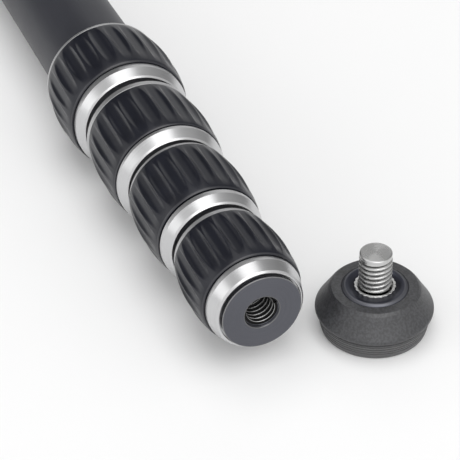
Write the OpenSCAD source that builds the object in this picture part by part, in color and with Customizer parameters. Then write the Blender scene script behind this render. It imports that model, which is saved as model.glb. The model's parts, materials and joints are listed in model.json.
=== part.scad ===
// Folding camera monopod with five tube sections and four twist locks.
// It lies along X on the floor, folded, with its rubber foot unscrewed and standing beside its end.
// Lengths along the monopod are measured from the face of its end plug towards the camera end.

/* [Tube sections] */
// Outside diameter of section 1, the top one
tube_1_d = 32; // [31:0.5:33]
// Outside diameter of section 2
tube_2_d = 28; // [27.5:0.5:28.5]
// Outside diameter of section 3
tube_3_d = 25; // [24.8:0.1:25.2]
// Outside diameter of section 4
tube_4_d = 22; // [21.8:0.1:22.2]
// Outside diameter of section 5, the bottom one
tube_5_d = 19; // [18.5:0.1:19]
// Wall thickness of every tube
tube_wall = 1; // [0.9:0.05:1.1]
// Height of the top end of section 2 above the plug face
nest_top = 440; // [400:5:445]
// How much lower each smaller section ends inside the next larger one
nest_step = 2; // [1:1:5]
// Height of the top end of section 1 above the plug face
tube_1_top = 466; // [460:1:480]

/* [Twist locks] */
// Length of each lock from its bottom edge to the top of its flange, from the top lock down
lock_len = [33, 32.1, 31.5, 30.2]; // [29:0.1:34]
// Gap under each lock, down to the next lock or to the plug face
lock_gap = [3.5, 2.4, 2.15, 1.15]; // [1.1:0.05:4]
// Height of each lock's silver ring
ring_len = [6.05, 4.8, 5.1, 5.8]; // [4.2:0.05:6.1]
// Height of the cylindrical step at the top of each silver ring
step_len = [2.35, 1.3, 1.8, 1.8]; // [0.6:0.05:2.4]
// How far each silver ring stands out from the tube
ring_proud = [3.1, 3.5, 3.3, 3.25]; // [3:0.05:3.6]
// How far the bottom edge of each silver ring stands out from the tube
ring_foot_proud = [1.1, 1.3, 1.5, 1.6]; // [1:0.1:1.7]
// Height of each flange above the rubber grip
flange_len = [1.1, 2, 1.5, 2]; // [0.9:0.1:2.2]
// How far each flange stands out from the tube
flange_proud = [3.7, 3.9, 3.35, 3.15]; // [3:0.05:4]
// Gap between each silver ring and the rubber grip
groove_w = [0.1, 0.3, 0.5, 0.1]; // [0.1:0.05:0.9]
// How far the rubber grip's ridges stand out from the tube
grip_proud = 5.1; // [4.8:0.1:5.5]
// How far the grip's ends stand out from the tube
grip_end_proud = 3.9; // [3.6:0.1:4.2]
// Number of flutes round each grip
flute_count = 24; // [18:2:28]
// Depth of a flute at the middle of the grip
flute_depth = 0.9; // [0.5:0.1:1]

/* [Foot] */
// Diameter of the rubber foot at its base
foot_base_d = 30.6; // [29:0.2:32]
// Largest diameter of the rubber foot
foot_max_d = 34.4; // [33:0.2:36]
// Height of the rubber foot
foot_height = 14.4; // [14:0.1:16]
// Height of the stud's tip above the floor
stud_top = 26.6; // [25:0.1:28]
// How far the foot stands behind the plug face
foot_back = 5.1; // [4:0.1:8]
// How far the foot stands to the side of the monopod's axis
foot_side = 37.2; // [36:0.1:45]

/* [Camera end] */
// Outside diameter of the foam handle
foam_d = 40; // [38:0.5:41]
// Height of the foam handle's lower end above the plug face
foam_from = 240; // [230:5:260]
// Height of the foam handle's upper end above the plug face
foam_to = 450; // [440:1:452]
// Thickness of the head plate
plate_t = 5; // [4:0.5:6]
// Thickness of the rubber pad on the head plate
pad_t = 1.2; // [1:0.1:2]
// How far the camera screw stands out of the pad
screw_out = 9.5; // [8:0.5:11]

/* [Hidden] */
$fn = 96;

// Gap of a bonded joint and of a running fit
bond = 0.02;
fit = 0.1;

TUBE_R = [tube_1_d, tube_2_d, tube_3_d, tube_4_d, tube_5_d] / 2;
LOCKS = 4;
// Three-eighths inch and quarter inch camera threads, as plain cylinders of their major radius
stud_r = 9.525 / 2;
small_stud_r = 6.35 / 2;
socket_r = 4.8;

// A twist lock's own steps along the axis, from its bottom edge
mouth_depth = 0.9;
seal_from = 2;
seal_to = 4.1;
cone_from = 5.2;
cone_to = 12.8;
sleeve_from = 13;
// Radii of the lock's parts, added to the radius of the tube that they surround
thread_proud = 1.5;
core_proud = 2.7;
// Radii inside the collar, added to the radius of the tube that slides in it
slide_gap = 0.5;
seal_seat = 1.6;
taper_in = 1.1;
taper_out = 2.4;
// Width of the rim round the recess in the bottom of the silver ring, and of its chamfer
rim_w = 0.35;
rim_chamfer = 0.5;

// Lock k counts from 1 at the top to 4 at the bottom
function lock_s(k) = lock_gap[k - 1] + (k == LOCKS ? 0 : lock_top(k + 1));
function lock_top(k) = lock_s(k) + lock_len[k - 1];
function grip_top(k) = lock_top(k) - flange_len[k - 1] - fit;
function outer_r(k) = TUBE_R[k - 1];
function inner_r(k) = TUBE_R[k];
function bore_r(k) = outer_r(k) - tube_wall;

// Top end and bottom end of each section's tube
plug_flange_t = 1.75;
function tube_top(k) = k == 1 ? tube_1_top : nest_top - nest_step * (k - 2);
function tube_bottom(k) = k == LOCKS + 1 ? plug_flange_t + bond : lock_s(k) + sleeve_from;

// Key ribs on the shims run in grooves along the tubes' bores
key_w = 3;
key_depth = 0.4;
rib_w = 2.6;
rib_h = 0.35;
shim_len = 26;
shim_gap = 0.6;

// Camera end, stacked above the foam handle
handle_ring_t = 4.5;
handle_ring_r = 18.4;
ring_pass = 0.3;
strap_from = foam_to + ring_pass + handle_ring_t + bond;
strap_t = 9;
strap_ring_r = 18.8;
ear_reach = 29;
ear_t = 3;
slot_axial = 5.4;
slot_radial = 5.8;
slot_r = 1;
hub_from = strap_from + strap_t + bond;
hub_cap_t = 3.5;
hub_spigot_len = 16;
hub_r = 18.4;
plate_from = tube_1_top + hub_cap_t + bond;
plate_r = TUBE_R[0] + grip_proud;
pad_from = plate_from + plate_t + bond;
pad_r = 19.6;
screw_disc_r = 8;
screw_disc_t = 1.5;
screw_tip = pad_from + pad_t + screw_out;

// Inside the foot: pocket for the insert, floor under the disc, and the stud's plain shank
pocket_z = 4;
cup_z = 13.2;
cup_r = 9.6;
insert_top = 15;
insert_r = 6.05;
// Counterbore in the insert's top, and the plain shank that goes down through it
counter_r = 5.35;
counter_z = 13.5;
shank_r = 4.4;
shank_z = 6;

// Place of the monopod's axis and of the foot: the origin is under the middle of the whole
axis_h = TUBE_R[0] + grip_proud;
far_x = foot_max_d / 2 - foot_back;
plug_x = (screw_tip - far_x) / 2;
axis_y = -(foot_side + foot_max_d / 2 - axis_h) / 2;

module on_axis() {
    translate([plug_x, axis_y, axis_h]) rotate([0, -90, 0]) children();
}

module at_foot() {
    translate([plug_x - foot_back, axis_y + foot_side, 0]) children();
}

// A ring of rectangular section with a small chamfer on its outer edges
module chamfered_ring(r_in, r_out, s_from, s_to, c) {
    rotate_extrude() polygon([
        [r_in, s_from], [r_out - c, s_from], [r_out, s_from + c],
        [r_out, s_to - c], [r_out - c, s_to], [r_in, s_to]
    ]);
}

module tube(k) {
    r = TUBE_R[k - 1];
    length = tube_top(k) - tube_bottom(k);
    color("#2b2c2f") on_axis() translate([0, 0, tube_bottom(k)]) difference() {
        cylinder(r = r, h = length);
        translate([0, 0, -1]) cylinder(r = r - tube_wall, h = length + 2);
        if (k <= LOCKS) for (side = [-1, 1])
            translate([-key_w / 2, side * (r - tube_wall) - key_depth, -1])
                cube([key_w, 2 * key_depth, length + 2]);
    }
}

// Threaded sleeve bonded round the tube's lower end, with the flange seen above the grip
module sleeve(k) {
    r = outer_r(k);
    flange_r = r + flange_proud[k - 1];
    c = 0.2;
    top = lock_top(k);
    color("#b4b6b8") on_axis() rotate_extrude() polygon([
        [r + bond, lock_s(k) + sleeve_from],
        [r + thread_proud, lock_s(k) + sleeve_from],
        [r + thread_proud, top - flange_len[k - 1]],
        [flange_r, top - flange_len[k - 1]],
        [flange_r, top - c],
        [flange_r - c, top],
        [r + bond, top]
    ]);
}

// Split taper that grips the inner tube when the collar is screwed home
module collet(k) {
    r = inner_r(k);
    s = lock_s(k);
    slit = 1.2;
    from = s + cone_from + 2 * fit;
    to = s + cone_to - 3 * fit;
    color("#d8d6cf") on_axis() difference() {
        rotate_extrude() polygon([
            [r + fit, from], [r + taper_in - fit, from], [r + taper_out - 1.5 * fit, to], [r + fit, to]
        ]);
        translate([0, -slit / 2, s]) cube([2 * r, slit, sleeve_from]);
    }
}

// Aluminium collar: silver ring below, core under the rubber grip, seal groove and taper inside
module collar(k) {
    ro = outer_r(k);
    ri = inner_r(k);
    s = lock_s(k);
    foot_r = ro + ring_foot_proud[k - 1];
    ring_r = ro + ring_proud[k - 1];
    ring_top = s + ring_len[k - 1];
    color("#a9abad") on_axis() rotate_extrude() polygon([
        [foot_r - rim_w, s],
        [foot_r, s],
        [foot_r + rim_chamfer, s + rim_chamfer],
        [ring_r, ring_top - step_len[k - 1]],
        [ring_r, ring_top],
        [ro + core_proud, ring_top],
        [ro + core_proud, grip_top(k)],
        [ro + thread_proud + fit, grip_top(k)],
        [ro + thread_proud + fit, s + cone_to],
        [ri + taper_out, s + cone_to],
        [ri + taper_in, s + cone_from],
        [ri + slide_gap, s + cone_from],
        [ri + slide_gap, s + seal_to],
        [ri + seal_seat, s + seal_to],
        [ri + seal_seat, s + seal_from],
        [ri + slide_gap, s + seal_from],
        [ri + slide_gap, s + mouth_depth],
        [foot_r - rim_w, s + mouth_depth]
    ]);
}

// Rubber barrel over the collar, bulged in the middle, with flutes that fade out at its ends
module grip(k) {
    ro = outer_r(k);
    from = lock_s(k) + ring_len[k - 1] + groove_w[k - 1];
    to = grip_top(k);
    bulge = grip_proud - grip_end_proud;
    lip = 0.4;
    steps = 10;
    side = [for (i = [0:steps]) let (t = 2 * i / steps - 1)
        [ro + grip_end_proud + bulge * (1 - t * t), from + lip + (to - from - 2 * lip) * i / steps]];
    pitch = 2 * PI * (ro + grip_proud) / flute_count;
    flute_share = 0.8;
    half_w = flute_share * pitch / 2;
    flute_r = (half_w * half_w + flute_depth * flute_depth) / (2 * flute_depth);
    color("#1b1e24") on_axis() difference() {
        rotate_extrude() polygon(concat(
            [[ro + core_proud + bond, from], [ro + grip_end_proud - lip, from]],
            side,
            [[ro + grip_end_proud - lip, to], [ro + core_proud + bond, to]]
        ));
        for (i = [0:flute_count - 1]) rotate((i + 0.5) * 360 / flute_count)
            translate([ro + grip_proud - flute_depth + flute_r, 0, from - 1])
                cylinder(r = flute_r, h = to - from + 2, $fn = 48);
    }
}

// Rubber wiper ring in the collar's mouth
module seal(k) {
    r = inner_r(k);
    s = lock_s(k);
    play = fit / 2;
    color("#141414") on_axis()
        chamfered_ring(r + fit, r + seal_seat - play, s + seal_from + play, s + seal_to - play, fit);
}

// Two half-round guide shells on a section's top end, each with a key rib
module shims(k) {
    r_in = TUBE_R[k - 1] + bond;
    r_out = bore_r(k - 1) - fit;
    from = tube_top(k) - shim_len - 2;
    color("#e6e3da") on_axis() translate([0, 0, from]) difference() {
        union() {
            difference() {
                cylinder(r = r_out, h = shim_len);
                translate([0, 0, -1]) cylinder(r = r_in, h = shim_len + 2);
            }
            for (side = [-1, 1]) difference() {
                translate([-rib_w / 2, side > 0 ? r_in + 0.2 : -r_out - rib_h, 0])
                    cube([rib_w, r_out + rib_h - r_in - 0.2, shim_len]);
                translate([0, 0, -1]) cylinder(r = r_in, h = shim_len + 2);
            }
        }
        translate([-2 * r_out, -shim_gap / 2, -1]) cube([4 * r_out, shim_gap, shim_len + 2]);
    }
}

// Turned plug in the bottom end: a thin face disc, a neck in shadow behind it, and a spigot that holds
// the threaded socket for the foot's stud
module end_plug() {
    face_r = 11.85;
    face_t = 0.45;
    neck_r = face_r - 0.9;
    spigot_r = TUBE_R[4] - tube_wall - bond;
    length = 22;
    edge = 0.2;
    depth = 15.5;
    mouth = 0.5;
    color("#5b5f64") on_axis() rotate_extrude() polygon([
        [socket_r + mouth, 0], [face_r - edge, 0], [face_r, edge], [face_r, face_t], [neck_r, face_t],
        [neck_r, plug_flange_t], [spigot_r, plug_flange_t], [spigot_r, length], [0, length],
        [0, depth], [socket_r, depth], [socket_r, mouth]
    ]);
}

// Rubber foot: grooved base, ledge, round shoulder, cone, and a flat rim round the disc
module foot_rubber() {
    base_r = foot_base_d / 2;
    max_r = foot_max_d / 2;
    sole_edge = 0.4;
    groove_d = 0.3;
    groove_h = 0.15;
    grooves = [2, 2.9, 3.9, 4.9];
    wall_h = 5.4;
    wall_lean = 1.2;
    wall = function (z) base_r + wall_lean * z / wall_h;
    ledge_in = 0.45;
    ledge_h = 0.2;
    shoulder_r = 1.2;
    shoulder_z = 7.1;
    cone_top_r = 13.3;
    rim_r = 12.8;
    rim_h = 0.8;
    rim_edge = 0.3;
    disc_edge = 0.15;
    color("#26282b") at_foot() rotate_extrude() polygon(concat(
        [[0, 0], [base_r - sole_edge, 0], [wall(sole_edge), sole_edge]],
        [for (z = grooves) each [
            [wall(z) , z - groove_h], [wall(z) - groove_d, z], [wall(z), z + groove_h]
        ]],
        [[wall(wall_h), wall_h], [max_r - ledge_in, wall_h + ledge_h]],
        [for (a = [-60:15:45]) [max_r - shoulder_r + shoulder_r * cos(a), shoulder_z + shoulder_r * sin(a)]],
        [[cone_top_r, foot_height - rim_h], [rim_r, foot_height - rim_edge],
         [rim_r - rim_edge, foot_height], [cup_r + disc_edge, foot_height],
         [cup_r, foot_height - disc_edge], [cup_r, cup_z],
         [insert_r + bond, cup_z], [insert_r + bond, pocket_z], [0, pocket_z]]
    ));
}

// Cover disc round the insert, a little proud of the rim, with a rounded edge
module foot_cup() {
    from = cup_z + bond;
    edge_z = 14.3;
    top_z = 14.85;
    edge_in = 0.8;
    color("#23272e") at_foot() rotate_extrude() polygon(concat(
        [[insert_r + bond, from], [cup_r - bond, from]],
        [for (a = [0:15:90])
            [cup_r - bond - edge_in * (1 - cos(a)), edge_z + (top_z - edge_z) * sin(a)]],
        [[insert_r + bond, top_z]]
    ));
}

// Knurled metal insert moulded into the rubber, which holds the stud's plain shank
module foot_insert() {
    edge = 0.15;
    color("#d4d5d6") at_foot() rotate_extrude() polygon([
        [0, pocket_z + bond], [insert_r, pocket_z + bond], [insert_r, insert_top - edge],
        [insert_r - edge, insert_top], [counter_r, insert_top], [counter_r, counter_z],
        [shank_r + bond, counter_z], [shank_r + bond, shank_z], [0, shank_z]
    ]);
}

// Stainless stud, a plain cylinder of the thread's major radius with a chamfered flat tip
module foot_stud() {
    tip = 0.65;
    color("#c2c2c0") at_foot() rotate_extrude() polygon([
        [0, shank_z + bond], [shank_r, shank_z + bond], [shank_r, insert_top + bond],
        [stud_r, insert_top + bond], [stud_r, stud_top - tip], [stud_r - tip, stud_top], [0, stud_top]
    ]);
}

module foam_handle() {
    r = foam_d / 2;
    edge = 3;
    color("#1c1c1d") on_axis() rotate_extrude() polygon(concat(
        [[TUBE_R[0] + bond, foam_from]],
        [for (a = [-90:15:0]) [r - edge + edge * cos(a), foam_from + edge + edge * sin(a)]],
        [for (a = [0:15:90]) [r - edge + edge * cos(a), foam_to - edge + edge * sin(a)]],
        [[TUBE_R[0] + bond, foam_to]]
    ));
}

module handle_ring_lower() {
    color("#8f9194") on_axis() chamfered_ring(TUBE_R[0] + bond, handle_ring_r,
        foam_from - ring_pass - handle_ring_t, foam_from - ring_pass, 0.6);
}

module handle_ring_upper() {
    color("#8f9194") on_axis() chamfered_ring(TUBE_R[0] + bond, handle_ring_r,
        foam_to + ring_pass, foam_to + ring_pass + handle_ring_t, 0.6);
}

// Ring with an ear whose slot takes a wrist strap
module strap_ring() {
    mid = strap_from + strap_t / 2;
    ear_r = 3;
    ear_root = TUBE_R[0] + 1.5;
    slot_rim = 2.4;
    slot_mid = ear_reach - slot_rim - slot_radial / 2;
    color("#303134") on_axis() difference() {
        union() {
            chamfered_ring(TUBE_R[0] + bond, strap_ring_r, strap_from, strap_from + strap_t, 0.5);
            translate([0, ear_t / 2, 0]) rotate([90, 0, 0]) linear_extrude(ear_t) union() {
                translate([ear_root, strap_from]) square([ear_reach - ear_r - ear_root, strap_t]);
                for (end = [-1, 1])
                    translate([ear_reach - ear_r, mid + end * (strap_t / 2 - ear_r)]) circle(r = ear_r);
                translate([ear_reach - ear_r - 1, mid - strap_t / 2 + ear_r])
                    square([ear_r + 1, strap_t - 2 * ear_r]);
            }
        }
        translate([0, ear_t, 0]) rotate([90, 0, 0]) linear_extrude(2 * ear_t) union() {
            translate([slot_mid - slot_radial / 2 + slot_r, mid - slot_axial / 2])
                square([slot_radial - 2 * slot_r, slot_axial]);
            translate([slot_mid - slot_radial / 2, mid - slot_axial / 2 + slot_r])
                square([slot_radial, slot_axial - 2 * slot_r]);
            for (a = [-1, 1], b = [-1, 1])
                translate([slot_mid + a * (slot_radial / 2 - slot_r), mid + b * (slot_axial / 2 - slot_r)])
                    circle(r = slot_r);
        }
    }
}

// Circle, thread, heads and depths of the screws between the head plate and the hub
screw_circle_r = 12.5;
m3_r = 1.5;
m3_head_r = 2.9;
head_depth = 2;
screw_reach = 8;

// Cap and spigot bonded to the tube's top end, which carries the head plate
module head_hub() {
    r = TUBE_R[0];
    spigot = r - tube_wall - bond;
    cap_top = plate_from - bond;
    color("#303134") on_axis() difference() {
        rotate_extrude() polygon([
            [small_stud_r + fit, tube_1_top - hub_spigot_len], [spigot, tube_1_top - hub_spigot_len],
            [spigot, tube_1_top + bond],
            [r + bond, tube_1_top + bond], [r + bond, hub_from], [hub_r, hub_from],
            [hub_r, cap_top], [small_stud_r + fit, cap_top]
        ]);
        for (a = [0, 120, 240]) rotate(a) translate([screw_circle_r, 0, cap_top - screw_reach])
            cylinder(r = m3_r + bond, h = screw_reach + 1, $fn = 32);
    }
}

// Round head plate with a counterbore for the camera screw's disc
module head_plate() {
    top = plate_from + plate_t;
    under_edge = 1;
    round_r = 1.5;
    color("#303134") on_axis() difference() {
        rotate_extrude() polygon(concat(
            [[small_stud_r + fit, plate_from]],
            [[plate_r - under_edge, plate_from], [plate_r, plate_from + under_edge]],
            [for (a = [0:15:90]) [plate_r - round_r + round_r * cos(a), top - round_r + round_r * sin(a)]],
            [[screw_disc_r + fit, top], [screw_disc_r + fit, top - screw_disc_t],
             [small_stud_r + fit, top - screw_disc_t]]
        ));
        for (a = [0, 120, 240]) rotate(a) translate([screw_circle_r, 0, plate_from - 1]) {
            cylinder(r = m3_r + fit, h = plate_t + 2, $fn = 32);
            translate([0, 0, 1 + plate_t - head_depth]) cylinder(r = m3_head_r + fit, h = 3, $fn = 32);
        }
    }
}

// Three screws that hold the plate to the hub, hidden under the pad
module plate_screws() {
    head_t = 1.8;
    head_from = plate_from + plate_t - head_depth + bond;
    reach = screw_reach - 0.5;
    color("#8d8f92") on_axis() for (a = [0, 120, 240]) rotate(a) translate([screw_circle_r, 0, 0]) {
        translate([0, 0, plate_from - reach])
            cylinder(r = m3_r, h = reach + plate_t - head_depth + head_t / 2, $fn = 32);
        translate([0, 0, head_from]) cylinder(r = m3_head_r, h = head_t - bond, $fn = 32);
    }
}

module head_pad() {
    color("#1d1d1e") on_axis() chamfered_ring(screw_disc_r + 0.4, pad_r, pad_from, pad_from + pad_t, 0.4);
}

// Reversible camera screw: large thread outwards, small thread down in the hub
module camera_screw() {
    disc_from = plate_from + plate_t - screw_disc_t + bond;
    small_len = 9;
    tip = 0.8;
    color("#b9babb") on_axis() rotate_extrude() polygon([
        [0, disc_from - small_len], [small_stud_r - 0.5, disc_from - small_len],
        [small_stud_r, disc_from - small_len + 0.5], [small_stud_r, disc_from],
        [screw_disc_r, disc_from], [screw_disc_r, disc_from + screw_disc_t],
        [stud_r, disc_from + screw_disc_t], [stud_r, screw_tip - tip], [stud_r - tip, screw_tip],
        [0, screw_tip]
    ]);
}

tube(1);  // tube_1
tube(2);  // tube_2
tube(3);  // tube_3
tube(4);  // tube_4
tube(5);  // tube_5
sleeve(1);  // sleeve_1
sleeve(2);  // sleeve_2
sleeve(3);  // sleeve_3
sleeve(4);  // sleeve_4
collet(1);  // collet_1
collet(2);  // collet_2
collet(3);  // collet_3
collet(4);  // collet_4
collar(1);  // collar_1
collar(2);  // collar_2
collar(3);  // collar_3
collar(4);  // collar_4
grip(1);  // grip_1
grip(2);  // grip_2
grip(3);  // grip_3
grip(4);  // grip_4
seal(1);  // seal_1
seal(2);  // seal_2
seal(3);  // seal_3
seal(4);  // seal_4
shims(2);  // shims_2
shims(3);  // shims_3
shims(4);  // shims_4
shims(5);  // shims_5
end_plug();
foot_rubber();
foot_cup();
foot_insert();
foot_stud();
foam_handle();
handle_ring_lower();
handle_ring_upper();
strap_ring();
head_hub();
head_plate();
plate_screws();
head_pad();
camera_screw();
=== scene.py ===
# %% [markdown]
# # A camera monopod, folded, with its foot unscrewed
#
# The real object is a stack of five tubes, one inside the other. Four twist locks hold them, each a fluted
# rubber barrel over a silver ring. The foot has been unscrewed from the end plug and stands beside it.
#
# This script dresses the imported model. The model gives every place and size, so the first step is to load it.
# Its box is kept before anything is added, because the finished pieces have to stay inside it.

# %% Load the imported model
import json
import math

import bmesh
import bpy
import numpy as np
from mathutils import Matrix, Vector


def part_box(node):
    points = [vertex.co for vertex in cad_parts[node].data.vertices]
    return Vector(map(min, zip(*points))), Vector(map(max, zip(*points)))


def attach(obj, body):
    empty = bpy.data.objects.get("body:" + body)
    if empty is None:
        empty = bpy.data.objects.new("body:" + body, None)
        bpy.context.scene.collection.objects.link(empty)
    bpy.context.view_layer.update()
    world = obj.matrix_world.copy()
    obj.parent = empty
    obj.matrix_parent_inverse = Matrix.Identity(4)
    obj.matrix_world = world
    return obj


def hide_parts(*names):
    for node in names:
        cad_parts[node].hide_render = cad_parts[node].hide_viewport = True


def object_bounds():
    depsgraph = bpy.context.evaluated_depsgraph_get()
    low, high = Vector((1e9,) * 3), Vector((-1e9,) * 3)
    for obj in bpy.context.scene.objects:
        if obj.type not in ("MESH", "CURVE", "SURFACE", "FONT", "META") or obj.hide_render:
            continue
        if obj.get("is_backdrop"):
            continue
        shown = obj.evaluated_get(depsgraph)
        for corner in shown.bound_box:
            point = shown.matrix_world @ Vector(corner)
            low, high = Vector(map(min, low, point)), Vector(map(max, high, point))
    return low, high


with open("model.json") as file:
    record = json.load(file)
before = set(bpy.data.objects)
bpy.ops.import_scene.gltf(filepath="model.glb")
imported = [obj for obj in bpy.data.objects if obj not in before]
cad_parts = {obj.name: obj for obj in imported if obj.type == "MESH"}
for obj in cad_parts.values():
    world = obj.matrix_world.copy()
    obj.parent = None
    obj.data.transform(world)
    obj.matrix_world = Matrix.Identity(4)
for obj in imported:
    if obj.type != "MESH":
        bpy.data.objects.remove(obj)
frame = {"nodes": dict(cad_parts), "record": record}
cad_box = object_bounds()
print("model box, metres:", [tuple(round(v, 4) for v in corner) for corner in cad_box])

# %% [markdown]
# ## Where things are
#
# The monopod lies along X, so a turned piece is easiest to write as a radius and a height above the plug
# face. The foot stands upright, so there the height is simply Z. Both axes are measured from boxes of the
# model's own nodes. They could be typed in as numbers, but then a change to the model would leave the looks
# behind.

# %% Axes measured from the model
MM = 0.001
TURN = 2 * math.pi

tube_low, tube_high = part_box("tube_5")
foot_low, foot_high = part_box("foot_rubber")
PLUG_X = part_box("end_plug")[1].x
AXIS_Y = (tube_low.y + tube_high.y) / 2
AXIS_Z = (tube_low.z + tube_high.z) / 2
FOOT_X = (foot_low.x + foot_high.x) / 2
FOOT_Y = (foot_low.y + foot_high.y) / 2


def on_axis(radius, angle, height):
    """A point round the monopod. X falls from the plug face as the height grows. The angle is 0 at the top of
    the tube and grows towards +Y, so Y is the radius times its sine and Z the radius times its cosine."""
    x = PLUG_X - height
    y = AXIS_Y + radius * np.sin(angle)
    z = AXIS_Z + radius * np.cos(angle)
    return np.stack(np.broadcast_arrays(x, y, z), axis=-1)


def at_foot(radius, angle, height):
    """A point round the standing foot. Its height above the floor is Z, and the angle starts at +X."""
    x = FOOT_X + radius * np.cos(angle)
    y = FOOT_Y + radius * np.sin(angle)
    return np.stack(np.broadcast_arrays(x, y, height), axis=-1)


def reach(node):
    """Outer radius, lowest height and highest height, in millimetres, of a node turned round the monopod."""
    low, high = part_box(node)
    return (high.y - low.y) / 2 / MM, (PLUG_X - high.x) / MM, (PLUG_X - low.x) / MM


print(f"plug face at x = {PLUG_X:.4f} m, axis {AXIS_Z / MM:.2f} mm above the floor")

# %% [markdown]
# ## From a grid of points to a mesh
#
# Every new piece is a surface of two parameters: one runs along a profile and the other round the axis. The
# grid is one numpy array, and its faces are index arithmetic. Blender's Screw modifier could spin a profile
# too, but a grid also takes flutes, threads and knurls, where the radius depends on both parameters.
#
# The same two parameters become the UV map, in metres, so a finish can follow the lathe's own direction. A
# second value kept at each point says how deep a flute, thread or knurl was cut there.

# %% Mesh from a grid
UV_NAME = "round_and_along"
CUT_NAME = "cut_depth"
WELD = 1e-7


def grid_piece(name, points, along, around, cut=None):
    """A mesh from points[i, j]. A quad has the corners (i, j), (i + 1, j), (i + 1, j + 1) and (i, j + 1), and
    the last row and column meet the first. The signed volume is a sixth of the sum of a . (b x c) over the
    triangles. Where it is negative the faces point inwards, and their corners are taken the other way
    round."""
    rows, columns = points.shape[:2]
    i = np.arange(rows)[:, None]
    j = np.arange(columns)[None, :]
    corners = [(i, j), (i + 1, j), (i + 1, j + 1), (i, j + 1)]
    quads = np.stack([(a % rows) * columns + b % columns for a, b in corners], axis=-1).reshape(-1, 4)
    pairs = [np.stack(np.broadcast_arrays(around[b], along[a]), axis=-1) for a, b in corners]
    uv = np.stack(pairs, axis=-2).reshape(-1, 4, 2)
    flat = points.reshape(-1, 3)
    a, b, c, d = (flat[quads[:, n]] - flat.mean(axis=0) for n in range(4))
    volume = ((np.cross(a, b) * c).sum() + (np.cross(a, c) * d).sum()) / 6
    if volume < 0:
        quads, uv = quads[:, ::-1], uv[:, ::-1]
    mesh = bpy.data.meshes.new(name)
    mesh.from_pydata(flat.tolist(), [], quads.tolist())
    mesh.uv_layers.new(name=UV_NAME).data.foreach_set("uv", np.ascontiguousarray(uv).ravel())
    if cut is not None:
        mesh.attributes.new(CUT_NAME, "FLOAT", "POINT").data.foreach_set("value", cut.ravel())
    weld(mesh)
    mesh.shade_smooth()
    piece = bpy.data.objects.new(name, mesh)
    bpy.context.scene.collection.objects.link(piece)
    print(f"{name}: {len(mesh.polygons)} faces, {abs(volume) * 1e6:.2f} cm3")
    return piece


def weld(mesh):
    """Joins points that lie on each other, which closes the fans round the poles."""
    work = bmesh.new()
    work.from_mesh(mesh)
    bmesh.ops.remove_doubles(work, verts=work.verts, dist=WELD)
    work.to_mesh(mesh)
    work.free()


# %% [markdown]
# ## Turned profiles with rounded edges
#
# Nothing off a lathe or out of a mould has a perfectly sharp edge, and it is the small rounded edges that
# catch the light. A profile is a list of corners, each with its fillet radius, and the fillets are worked
# out as arcs. A Bevel modifier would round everything alike. A guard ring on either side of each fillet
# keeps the smooth shading of the arc from spreading into the flat parts.

# %% Rounded profile
GUARD = 0.06
FILLET_STEPS = 4
MOST_ROOM = 0.9


def rounded(corners):
    """Corners (radius, height, fillet) of a closed profile become points. A fillet of radius f at a corner
    whose inside angle is A starts f / tan(A / 2) from the corner, and its centre is on the line that halves
    A. A fillet takes up no more than most of the room beside it, and is made smaller where it would."""
    place = np.array([corner[:2] for corner in corners], float)
    fillets = [corner[2] if len(corner) > 2 else 0 for corner in corners]
    points = []
    for n, fillet in enumerate(fillets):
        here = place[n]
        if fillet == 0:
            points.append(here)
            continue
        before, after = place[n - 1] - here, place[(n + 1) % len(corners)] - here
        room = min(np.linalg.norm(before), np.linalg.norm(after)) / 2
        before, after = before / np.linalg.norm(before), after / np.linalg.norm(after)
        half = math.acos(np.clip(before @ after, -1, 1)) / 2
        setback = min(fillet / math.tan(half), MOST_ROOM * room)
        middle = here + (before + after) / np.linalg.norm(before + after) * setback / math.cos(half)
        start, end = here + before * setback - middle, here + after * setback - middle
        sweep = math.atan2(start[0] * end[1] - start[1] * end[0], start @ end)
        guard = min(GUARD, (room - setback) / 2)
        points.append(here + before * (setback + guard))
        for turn in np.linspace(0, sweep, FILLET_STEPS + 1):
            c, s = math.cos(turn), math.sin(turn)
            points.append(middle + [c * start[0] - s * start[1], s * start[0] + c * start[1]])
        points.append(here + after * (setback + guard))
    return np.array(points)


print("points for each rounded corner:", FILLET_STEPS + 3)

# %% [markdown]
# ## The lathe
#
# A turned piece is its profile swept round an axis. Where the real piece has flutes, threads, a knurl or key
# grooves, a shape function changes the radius once it knows the angle and the height as well. That keeps all
# of them in real geometry, which a bump map can't give at the outline.

# %% Lathe
SIDES = 144


def even_angles(sides=SIDES):
    """The angles of the columns, evenly spaced, with the full turn as the last value."""
    return np.arange(sides + 1) * TURN / sides


def lathe(name, profile, place, angles=None, shape=None):
    """Each profile point keeps its height, and its radius sweeps the angles. shape(radius, angle, height)
    gives the changed radius. Lengths are in millimetres until the points are placed."""
    angles = even_angles() if angles is None else angles
    radius, height = profile[:, :1], profile[:, 1:]
    cut = None
    if shape is not None:
        shaped = shape(radius, angles[None, :-1], height)
        radius, cut = shaped, np.abs(radius - shaped) * MM
    points = place(radius * MM, angles[None, :-1], height * MM)
    step = np.linalg.norm(np.roll(profile, -1, axis=0) - profile, axis=1)
    along = np.concatenate([[0], np.cumsum(step)]) * MM
    return grid_piece(name, points, along, angles * profile[:, 0].max() * MM, cut=cut)


print("columns in a plain turn:", SIDES)

# %% [markdown]
# ## A toolbox for materials
#
# All finishes start from a Principled shader. Nothing real is perfectly even, so colour, roughness and bump
# are each fed by noise at the scale of the real surface. The noise reads either the piece's own UV map, where
# marks can follow the lathe, or Object coordinates, which are metres here. Such noise keeps mostly between
# 0.3 and 0.7, so that span is what gets stretched over a range. A value that is the same all over is typed
# straight into its socket.

# %% Material toolbox
NOISE_SPAN = (0.3, 0.7)


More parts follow.
